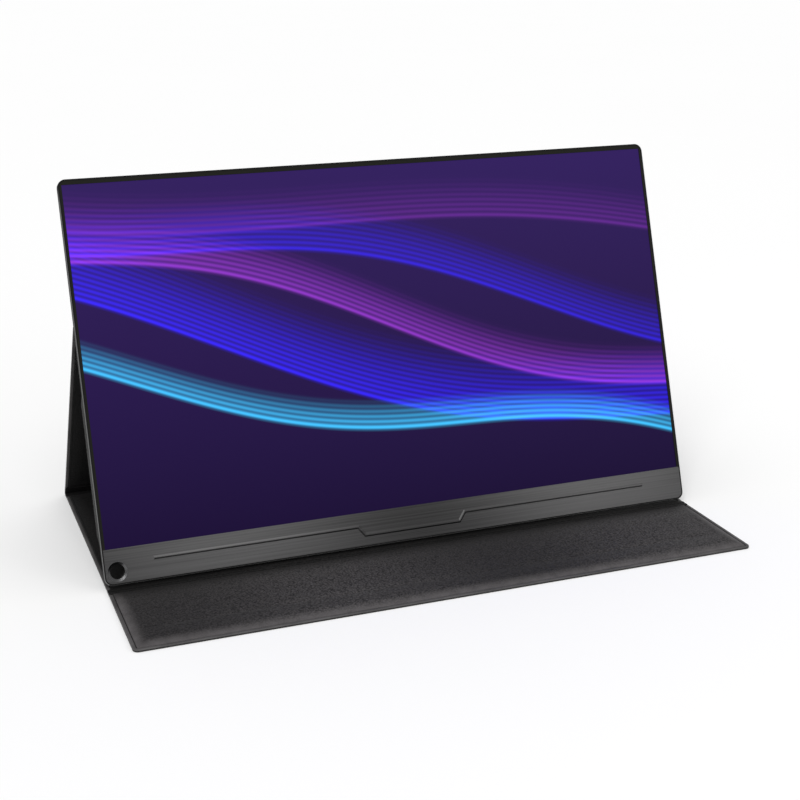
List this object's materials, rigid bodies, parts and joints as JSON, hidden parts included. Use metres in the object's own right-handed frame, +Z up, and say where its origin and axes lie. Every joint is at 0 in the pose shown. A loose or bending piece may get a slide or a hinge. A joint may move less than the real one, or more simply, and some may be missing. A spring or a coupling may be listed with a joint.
{
  "type": "portable monitor with cover",
  "caption": "Slim portable flat-screen monitor standing tilted on its own folding leather cover, with a flap in front, a prop strut behind and a pen hole in the chin.",
  "frame": {"origin": "on the table, below the middle of the outline", "axes": "+X along the screen to the viewer's right, +Y away from the viewer, +Z up"},
  "size_m": [0.3488, 0.2254, 0.2074],
  "materials": {
    "leather_black": "fine grain, semi-matte",
    "lining_grey": "fine brushed microfibre",
    "board_grey": "plain stiff board",
    "shell_metal": "dark grey, fine blasted",
    "bezel_black": "matte black",
    "chin_metal": "brushed across, dark grey",
    "ring_metal": "turned, bright bevel",
    "display": "satin anti-glare picture",
    "film_white": "white film",
    "guide_clear": "clear acrylic",
    "steel_sheet": "rolled sheet",
    "board_green": "coated circuit board",
    "chip_black": "moulded black",
    "ribbon_amber": "flexible film",
    "socket_steel": "plated sheet",
    "brass": "turned",
    "magnet_metal": "plated magnet"
  },
  "bodies": {
    "base": {"base_skin": "leather_black", "base_board": "board_grey", "base_lining": "lining_grey", "seat_strip": "lining_grey", "spine_strip": "leather_black"},
    "flap": {"flap_skin": "leather_black", "flap_board": "board_grey", "flap_lining": "lining_grey", "flap_magnets": "magnet_metal"},
    "strut": {"strut_skin": "leather_black", "strut_board": "board_grey", "strut_lining": "lining_grey", "apex_strip": "leather_black"},
    "back_panel": {"back_panel_skin": "leather_black", "back_panel_board": "board_grey", "back_panel_lining": "lining_grey", "back_magnets": "magnet_metal"},
    "monitor": {"rear_shell": "shell_metal", "front_bezel": "bezel_black", "chin_plate": "chin_metal", "pen_ring": "ring_metal", "lcd_cell": "display", "diffuser_films": "film_white", "light_guide": "guide_clear", "reflector_sheet": "film_white", "panel_tray": "steel_sheet", "led_strip": "film_white", "latch_plate": "steel_sheet", "main_board": "board_green", "main_chips": "chip_black", "board_posts": "brass", "board_screws": "steel_sheet", "driver_board": "board_green", "panel_ribbon": "ribbon_amber", "speakers": "chip_black", "speaker_grilles": "bezel_black", "usb_c_sockets": "socket_steel", "mini_hdmi_socket": "socket_steel", "port_panel": "bezel_black", "key_board": "board_green", "key_switches": "chip_black"},
    "power_key": {"power_key": "shell_metal"},
    "menu_key": {"menu_key": "shell_metal"}
  },
  "joints": [
    {"name": "flap_fold", "type": "hinge", "parent": "base", "child": "flap", "pos_m": [0, -0.0421, 0.0014], "axis": [-1, 0, 0], "range_deg": [0, 90]},
    {"name": "stand_fold", "type": "hinge", "parent": "base", "child": "strut", "pos_m": [0, 0.1113, 0.0014], "axis": [-1, 0, 0], "range_deg": [0, 124], "deforming": ["spine_strip"]},
    {"name": "screen_fold", "type": "hinge", "parent": "strut", "child": "back_panel", "pos_m": [0, 0.01319, 0.13494], "axis": [1, 0, 0], "range_deg": [0, 48.36], "deforming": ["apex_strip"]},
    {"name": "screen_lift", "type": "slide", "parent": "back_panel", "child": "monitor", "axis": [0, 0, 1], "range_m": [0, 0.15]},
    {"name": "power_press", "type": "slide", "parent": "monitor", "child": "power_key", "axis": [-1, 0, 0], "range_m": [0, 0.0005], "stiffness_N_per_m": 600},
    {"name": "menu_press", "type": "slide", "parent": "monitor", "child": "menu_key", "axis": [-1, 0, 0], "range_m": [0, 0.0005], "stiffness_N_per_m": 600}
  ],
  "couplings": [
    {"joint": "screen_fold", "follows": "stand_fold", "ratio": 0.39}
  ]
}
